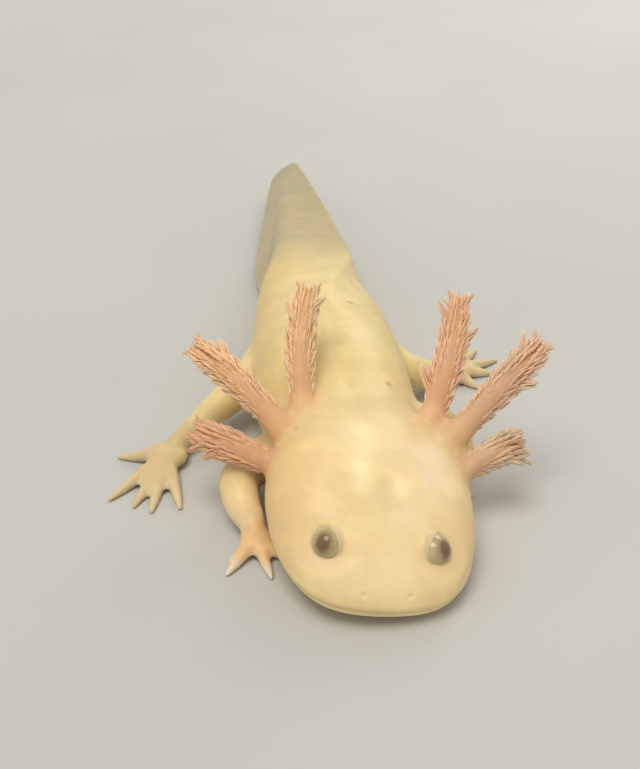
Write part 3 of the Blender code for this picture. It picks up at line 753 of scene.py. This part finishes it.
def open_for_eye(points, name):
    """Lays the skin on the eyeball and takes it inside where the eye is open."""
    outward, upward, ahead = eye_directions(name)
    axis = outward * OPENING_WAY[0] + upward * OPENING_WAY[1] + ahead * OPENING_WAY[2]
    axis /= np.linalg.norm(axis)
    off = points - eye_middle[name]
    distance = np.maximum(np.linalg.norm(off, axis=1), 1e-6)
    way = off / distance[:, None]
    angle = np.degrees(np.arccos(np.clip(way @ axis, -1, 1)))
    flat = ahead - axis * (ahead @ axis)
    flat /= np.linalg.norm(flat)
    upright = np.cross(axis, flat)
    turned = np.arctan2(way @ upright, way @ flat)
    past = angle - EYE_OPENING[name] - EYE_OPENING_LONG * np.cos(2 * turned)
    over = distance - (EYE_RADIUS + RIM_THICK)
    over = 0.5 * (over + np.sqrt(over ** 2 + 0.25))  # never under the eyeball's surface
    lifted = EYE_RADIUS + RIM_THICK + over * smoothstep(0, RIM_SLOPE, past) + RIM_SWELL * bump_at(past, 6, 5)
    inside = smoothstep(2.5, -2.5, past)
    wanted = lifted * (1 - inside) + np.minimum(distance, EYE_RADIUS - 0.5) * inside
    near = smoothstep(EYE_RADIUS + 4.0, EYE_RADIUS + 1.2, distance) * smoothstep(165, 140, angle)
    return points + way * ((wanted - distance) * near)[:, None]


def refine_near_eyes(mesh):
    """Splits the skin's faces round the eyes twice, so the rims come out smooth."""
    shape = bmesh.new()
    shape.from_mesh(mesh)
    for _ in range(2):
        chosen = []
        for name in EYES:
            middle = Vector(eye_middle[name] * MM)
            reach = (EYE_RADIUS + EYE_REACH) * MM
            chosen += [edge for edge in shape.edges if (edge.verts[0].co - middle).length < reach
                       and (edge.verts[1].co - middle).length < reach]
        bmesh.ops.subdivide_edges(shape, edges=chosen, cuts=1, use_grid_fill=True)
        bmesh.ops.triangulate(shape, faces=[face for face in shape.faces if len(face.verts) > 3])
    shape.to_mesh(mesh)
    shape.free()


def build_skin():
    made = mesh_object("skin", points, quads, skin_look)
    before = len(quads) * 2
    if before > SKIN_TRIANGLES:
        kept = made.vertex_groups.new(name="round_the_eyes")
        near = np.min([np.linalg.norm(points - middle, axis=1) for middle in eye_middle.values()], axis=0)
        kept.add(np.flatnonzero(near < EYE_RADIUS + EYE_REACH + 0.5).tolist(), 1.0, "REPLACE")
        thin = made.modifiers.new("fewer_faces", "DECIMATE")
        thin.ratio = SKIN_TRIANGLES / before
        thin.vertex_group = kept.name
        thin.vertex_group_factor = 1000  # its largest: none of the group's faces are taken
        thin.invert_vertex_group = True  # the group is what stays as it is
        bpy.context.view_layer.update()
        slim = bpy.data.meshes.new_from_object(made.evaluated_get(bpy.context.evaluated_depsgraph_get()))
        made.modifiers.clear()
        old = made.data
        made.data = slim
        slim.name = "skin"
        bpy.data.meshes.remove(old)
    mesh = made.data
    refine_near_eyes(mesh)
    places = vertex_array(mesh)
    for name in EYES:
        places = open_for_eye(places, name)
    mesh.vertices.foreach_set("co", (places * MM).astype(np.float32).ravel())
    mesh.update()
    mesh.shade_smooth()
    pairs = np.empty(len(mesh.edges) * 2, np.int32)
    mesh.edges.foreach_get("vertices", pairs)
    pairs = pairs.reshape(-1, 2)
    count = np.maximum(np.bincount(pairs.ravel(), minlength=len(places)), 1).astype(float)
    colours, freckled, gills = skin_colours(places, owners_of(places), pairs, count)
    set_colours(mesh, "skin_colour", colours)
    set_values(mesh, "freckled", freckled)
    set_values(mesh, "gill_share", gills)
    return made


skin = build_skin()
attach(skin, "root")
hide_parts(*FLESH)

# ---------------------------------------------------------------- eyes: degrees from the middle of the pupil
PUPIL_EDGE = 27.0
IRIS_EDGE = 48.0
PUPIL_OVAL = -0.16
LENS_EDGE = 56
EYE_RINGS = 48
EYE_SIDES = 64
EYE_ZONES = (  # where each colour is reached, in degrees, and the colour
    (0, (0.190, 0.118, 0.048)), (PUPIL_EDGE - 5, (0.200, 0.124, 0.050)),
    (PUPIL_EDGE + 4, (0.360, 0.265, 0.125)), (IRIS_EDGE - 4, (0.460, 0.370, 0.190)),
    (IRIS_EDGE + 6, (0.510, 0.415, 0.215)), (80, (0.600, 0.475, 0.235)), (105, (0.680, 0.510, 0.260)),
    (180, (0.68, 0.50, 0.26)))


def eye_material():
    """A soft brown pupil in an iris that is paler outwards, under a wet cornea."""
    material, tree, shader = principled(
        "wet_eye", Roughness=0.22, IOR=1.4, Coat_Weight=0.8, Coat_Roughness=0.12, Coat_IOR=1.38,
        Subsurface_Weight=0.12, Subsurface_Radius=(1.0, 0.6, 0.4), Subsurface_Scale=0.001)
    fibres = mapped_range(tree, noise_of(tree, 1500.0, 3.0, 0.6), 0.3, 0.7, 0.86, 1.12)
    colour = scaled(tree, attribute(tree, "eye_colour", "Color"), fibres)
    tree.links.new(colour, shader.inputs["Base Color"])
    return material


def build_eye(side, gaze, look):
    """An eyeball turned to its gaze, with the lens a little proud."""
    middle, pole = eye_middle[side], Vector(gaze).normalized()
    turn = pole.to_track_quat("Z", "Y").to_matrix()
    points, colours = [], []
    for ring in range(1, EYE_RINGS):
        polar = math.pi * ring / EYE_RINGS
        degrees = math.degrees(polar)
        proud = LENS_PROUD * float(smoothstep(LENS_EDGE, 10, degrees))
        for k in range(EYE_SIDES):
            angle = 2 * math.pi * k / EYE_SIDES
            way = (math.sin(polar) * math.cos(angle), math.sin(polar) * math.sin(angle), math.cos(polar))
            points.append(np.array(turn @ Vector(way)) * (EYE_RADIUS + proud) + middle)
            colours.append(eye_colour(degrees / (1 + PUPIL_OVAL * math.cos(2 * angle))))
    top, bottom = len(points), len(points) + 1
    points += [np.array(pole) * (EYE_RADIUS + LENS_PROUD) + middle, middle - np.array(pole) * EYE_RADIUS]
    colours += [eye_colour(0), eye_colour(180)]
    faces = []
    for ring in range(EYE_RINGS - 2):
        near, far = ring * EYE_SIDES, (ring + 1) * EYE_SIDES
        for k in range(EYE_SIDES):
            after = (k + 1) % EYE_SIDES
            faces.append((near + k, far + k, far + after, near + after))
    made = mesh_object("eyeball_" + side, points, faces, look)
    shape = bmesh.new()
    shape.from_mesh(made.data)
    shape.verts.ensure_lookup_table()
    last = (EYE_RINGS - 2) * EYE_SIDES
    for k in range(EYE_SIDES):
        after = (k + 1) % EYE_SIDES
        shape.faces.new((shape.verts[top], shape.verts[k], shape.verts[after]))
        shape.faces.new((shape.verts[last + after], shape.verts[last + k], shape.verts[bottom]))
    bmesh.ops.recalc_face_normals(shape, faces=shape.faces)
    shape.to_mesh(made.data)
    shape.free()
    made.data.shade_smooth()
    set_colours(made.data, "eye_colour", colours)
    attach(made, "root")
    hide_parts("eye_" + side)
    return made


def eye_colour(degrees):
    """The eye's colour at an angle from the middle of its pupil."""
    at, rows = [zone[0] for zone in EYE_ZONES], np.array([zone[1] for zone in EYE_ZONES])
    return [np.interp(degrees, at, rows[:, k]) for k in range(3)]


eye_look = eye_material()
for eye_name in EYES:
    outward, upward, ahead = eye_directions(eye_name)
    to_side, to_top, to_front = GAZE[eye_name]
    build_eye(eye_name, outward * to_side + upward * to_top + ahead * to_front, eye_look)

# ---------------------------------------------------------------- gill fringe
gill_look = skin_material("gill_fringe", 0.08, 0.0, 0.0003, 0.12)

FRINGE_ROWS = (  # degrees round the stalk, from one broad side over its back; length; sweep to the tip
    (-66, 0.60, 4.5), (-42, 0.80, 3.0), (-18, 0.95, 2.0), (6, 1.0, 1.6), (34, 0.95, 1.5), (66, 0.8, 1.5),
    (90, 0.8, 1.5), (114, 0.8, 1.5), (146, 0.95, 1.5), (174, 1.0, 1.6), (198, 0.95, 2.0), (222, 0.80, 3.0),
    (246, 0.60, 4.5))
ROW_FILAMENTS = 74
ROW_CLUMPS = 11  # wet filaments cling together towards their tips
FIRST_FILAMENT = 0.20  # share of the stalk's length
FILAMENT_LENGTH = 3.7
FILAMENT_THICK = 0.165
FILAMENT_ROOT = 0.72  # how far out in the stalk it starts
FILAMENT_DROOP = 0.10
FRINGE_BRIGHT = 1.12
FRINGE_SEED = 40
FILAMENT_SIDES = 6
FILAMENT_RINGS = 7
LOBES = {  # the longer lobes of single gills: share of the stalk, side, length
    "left_1": ((0.34, 186, 6.8), (0.74, -6, 5.0), (0.86, 186, 5.6)),
    "left_2": ((0.80, 186, 6.0), (0.55, -6, 5.0)),
    "left_3": ((0.80, -6, 5.5), (0.60, -6, 5.0)),
    "right_1": ((0.86, -6, 5.0), (0.78, 186, 5.2), (0.95, 60, 5.5)),
    "right_2": ((0.70, -6, 5.0), (0.94, 90, 5.5)),
    "right_3": ((0.62, 186, 5.0), (0.82, 186, 5.5)),
}
LOBE_FILAMENTS = 34
LOBE_CLUMPS = 9000  # their clumps are numbered from here
MAP_PATCH = 0.003  # side of a filament's patch in the map


def unit(rows):
    return rows / np.maximum(np.linalg.norm(rows, axis=-1, keepdims=True), 1e-9)


def stalk_frames(line, shares):
    """Places on a gill's middle line, and its ways: to the tip, across, and away from the front."""
    at, steps = np.clip(shares, 0, 1) * (len(line) - 1), np.arange(len(line))
    slopes = np.gradient(line, axis=0)
    place = np.stack([np.interp(at, steps, line[:, k]) for k in range(3)], 1)
    ahead = unit(np.stack([np.interp(at, steps, slopes[:, k]) for k in range(3)], 1))
    front = np.array((0.0, -0.8, 0.6))
    across = unit(np.cross(ahead, front))
    back = np.cross(ahead, across)
    return place, ahead, across, back * -np.sign(back @ front)[:, None]


def filament_table(name, random):
    """Each filament of a gill: share of the stalk, degrees round it, length, sweep, and its clump."""
    tables = []
    for row, (degrees, long, sweep) in enumerate(FRINGE_ROWS):
        place = np.arange(ROW_FILAMENTS) + random.uniform(0, 1, ROW_FILAMENTS)
        share = FIRST_FILAMENT + (1 - FIRST_FILAMENT) * place / ROW_FILAMENTS
        leaf = np.interp(share, (0.2, 0.4, 0.7, 1.0), (0.5, 0.9, 1.1, 1.0))
        sweeps = sweep * random.uniform(0.85, 1.2, ROW_FILAMENTS) + 2.2 * smoothstep(0.75, 1.0, share)
        shifted = share * ROW_CLUMPS + random.uniform(-0.2, 0.2, ROW_FILAMENTS) + 0.5 * (row % 2)
        clump = row * 100 + np.floor(shifted)
        tables.append(np.stack([share, degrees + random.uniform(-10, 10, ROW_FILAMENTS),
                                FILAMENT_LENGTH * long * leaf * random.uniform(0.7, 1.15, ROW_FILAMENTS),
                                sweeps, clump], 1))
    for number, (share, degrees, long) in enumerate(LOBES[name]):
        count = LOBE_FILAMENTS
        tables.append(np.stack([share + random.normal(0, 0.022, count), degrees + random.normal(0, 11, count),
                                long * random.uniform(0.75, 1.0, count), 1.15 + random.normal(0, 0.1, count),
                                np.full(count, LOBE_CLUMPS + number)], 1))
    return np.concatenate(tables)


def fringe(name, line, seed):
    """Soft filaments round a gill's stalk, clinging together in swept tufts, as one mesh."""
    random = np.random.default_rng(seed)
    share, degrees, long, sweep, clump = filament_table(name, random).T
    count = len(share)
    place, ahead, across, back = stalk_frames(line, share)
    turn = np.radians(degrees)[:, None]
    outward = across * np.cos(turn) + back * np.sin(turn)
    around = back * np.cos(turn) - across * np.sin(turn)
    stalk = GILL_RADIUS * read(GILL_TAPER, share)
    root = place + outward * (stalk * FILAMENT_ROOT)[:, None]
    way = unit(outward + ahead * sweep[:, None])
    tip = root + way * long[:, None]
    tip[:, 2] -= FILAMENT_DROOP * long
    _, group = np.unique(clump, return_inverse=True)
    size = np.bincount(group).astype(float)
    gathered = np.stack([np.bincount(group, tip[:, k]) / size for k in range(3)], 1)[group]
    tip += (gathered + way * 0.4 - tip) * random.uniform(0.35, 0.75, count)[:, None]
    elbow = root + outward * (long * 0.30)[:, None] + ahead * (long * 0.25)[:, None]
    elbow += random.normal(0, 0.12, (count, 3))
    t = np.linspace(0, 1, FILAMENT_RINGS)[None, :, None]
    centre = (1 - t) ** 2 * root[:, None] + 2 * t * (1 - t) * elbow[:, None] + t ** 2 * tip[:, None]
    tangent = unit(np.gradient(centre, axis=1))
    wide = unit(around[:, None] - tangent * (tangent * around[:, None]).sum(-1, keepdims=True))
    flat = np.cross(tangent, wide)
    thick = FILAMENT_THICK * random.uniform(0.8, 1.2, count)[:, None, None]
    radius = thick * np.sqrt(1 - t ** 2.5) * (1 - 0.45 * t) + 0.045
    angle = (2 * math.pi * np.arange(FILAMENT_SIDES) / FILAMENT_SIDES)[None, None, :, None]
    rings = centre[:, :, None] + (wide[:, :, None] * np.cos(angle) * 1.2
                                  + flat[:, :, None] * np.sin(angle)) * radius[:, :, None]
    points = rings.reshape(-1, 3)
    made = mesh_object("fringe_" + name, points, filament_faces(count), gill_look)
    paleness = random.uniform(0.6, 1.0, count) * smoothstep(-1.25, -0.2, np.sin(turn[:, 0]))
    paler = t ** 1.4 * paleness[:, None, None]
    shade = random.uniform(0.90, 1.10, count)[:, None, None]
    colours = (GILL * (1 - paler) + GILL_TIP * paler) * shade * FRINGE_BRIGHT * np.array(GILL_TINTS[name])
    set_colours(made.data, "skin_colour", np.repeat(colours.reshape(-1, 3), FILAMENT_SIDES, axis=0))
    set_values(made.data, "freckled", np.zeros(len(points)))
    set_values(made.data, "gill_share", np.ones(len(points)))
    corner = FILAMENT_RINGS * FILAMENT_SIDES
    places = np.stack([np.repeat(share, corner), np.repeat(degrees, corner),
                       np.tile(np.repeat(t.ravel(), FILAMENT_SIDES), count),
                       np.tile(np.arange(FILAMENT_SIDES), count * FILAMENT_RINGS)], 1)
    fringe_map(made.data, places, list(GILLS).index(name))
    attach(made, "root")
    return made


def filament_faces(count):
    """The four-sided faces of closed filaments, each a stack of rings."""
    faces = []
    for k in range(FILAMENT_RINGS - 1):
        low, high = k * FILAMENT_SIDES, (k + 1) * FILAMENT_SIDES
        for side in range(FILAMENT_SIDES):
            after = (side + 1) % FILAMENT_SIDES
            faces.append((low + side, low + after, high + after, high + side))
    end = (FILAMENT_RINGS - 1) * FILAMENT_SIDES
    faces += [(end, end + 1, end + 2, end + 3), (end, end + 3, end + 4, end + 5), (3, 2, 1, 0), (5, 4, 3, 0)]
    starts = np.arange(count)[:, None, None] * FILAMENT_RINGS * FILAMENT_SIDES
    return (np.array(faces)[None] + starts).reshape(-1, 4)


def fringe_map(mesh, rows, gill_index):
    """OFBake: each filament is a small patch at its root's place on the stalk's own unwrap."""
    layer = mesh.uv_layers.new(name="OFBake")
    corners = np.empty(len(mesh.loops), np.int32)
    mesh.loops.foreach_get("vertex_index", corners)
    share, degrees, t, side = rows.T
    u = (gill_index + 0.25 + degrees / 360) / len(GILLS) + (side / FILAMENT_SIDES - 0.5) * MAP_PATCH
    v = 0.05 + 0.85 * share + (t - 0.5) * MAP_PATCH
    layer.data.foreach_set("uv", np.stack([u[corners], v[corners]], 1).astype(np.float32).ravel())


for number, (gill_name, gill_line) in enumerate(gill_lines.items()):
    fringe(gill_name, gill_line, FRINGE_SEED + number)

# ---------------------------------------------------------------- floor, light, camera
FLOOR_DARKER = (0.52, 0.51, 0.48)
FLOOR_LIGHTER = (0.56, 0.55, 0.52)
FLOOR = 3000
KEY_COLOUR = (1.0, 0.97, 0.90)
KEY_WAY = (0.20, 0.22, -1.0)
KEY_WIDTH = 34  # degrees: its shadows are soft
GLOW_COLOUR = (1.0, 0.97, 0.92)
ROOM_COLOUR = (0.92, 0.91, 0.88)
CAMERA_PLACE = (-12.3, -144.8, 144.3)
CAMERA_DOWN = 31.85  # degrees below the level
CAMERA_LENS = 50.14
CAMERA_SENSOR = 36

floor_look, floor_tree, floor_shader = principled("pale_floor", Roughness=0.8)
floor_noise = mapped_range(floor_tree, noise_of(floor_tree, 6.0, 3.0), 0.3, 0.7, 0.0, 1.0)
floor_colour = mixed(floor_tree, floor_noise, FLOOR_DARKER, FLOOR_LIGHTER)
floor_tree.links.new(floor_colour, floor_shader.inputs["Base Color"])
floor_corners = [(-FLOOR, -FLOOR, 0), (FLOOR, -FLOOR, 0), (FLOOR, FLOOR, 0), (-FLOOR, FLOOR, 0)]
floor = mesh_object("floor", floor_corners, [(0, 1, 2, 3)], floor_look, smooth=False)


def add_light(name, kind, way, power, colour):
    """A light that shines along a direction."""
    light = bpy.data.lights.new(name, kind)
    light.energy = power
    light.color = colour
    made = bpy.data.objects.new(name, light)
    made.rotation_euler = way.to_track_quat("-Z", "Y").to_euler()
    bpy.context.scene.collection.objects.link(made)
    return made


key = add_light("key", "SUN", Vector(KEY_WAY), 1.55, KEY_COLOUR)
key.data.angle = math.radians(KEY_WIDTH)
glow_place = Vector((0.28, 0.5, 0.42))
glow = add_light("glow", "AREA", Vector((0, -0.02, 0.01)) - glow_place, 0.9, GLOW_COLOUR)
glow.location = glow_place
glow.data.shape = "DISK"
glow.data.size = 0.3

world = bpy.data.worlds.new("studio")
world.use_nodes = True
room = world.node_tree.nodes["Background"]
room.inputs["Color"].default_value = (*ROOM_COLOUR, 1)
room.inputs["Strength"].default_value = 0.60
bpy.context.scene.world = world
bpy.context.scene.view_settings.view_transform = "Standard"

camera_data = bpy.data.cameras.new("camera")
camera_data.sensor_width = CAMERA_SENSOR
camera_data.lens = CAMERA_LENS
camera_data.clip_start = 0.01
camera = bpy.data.objects.new("camera", camera_data)
camera.location = snout_to_world(CAMERA_PLACE) * MM
camera.rotation_euler = (math.radians(90 - CAMERA_DOWN), 0, 0)
bpy.context.scene.collection.objects.link(camera)
bpy.context.scene.camera = camera
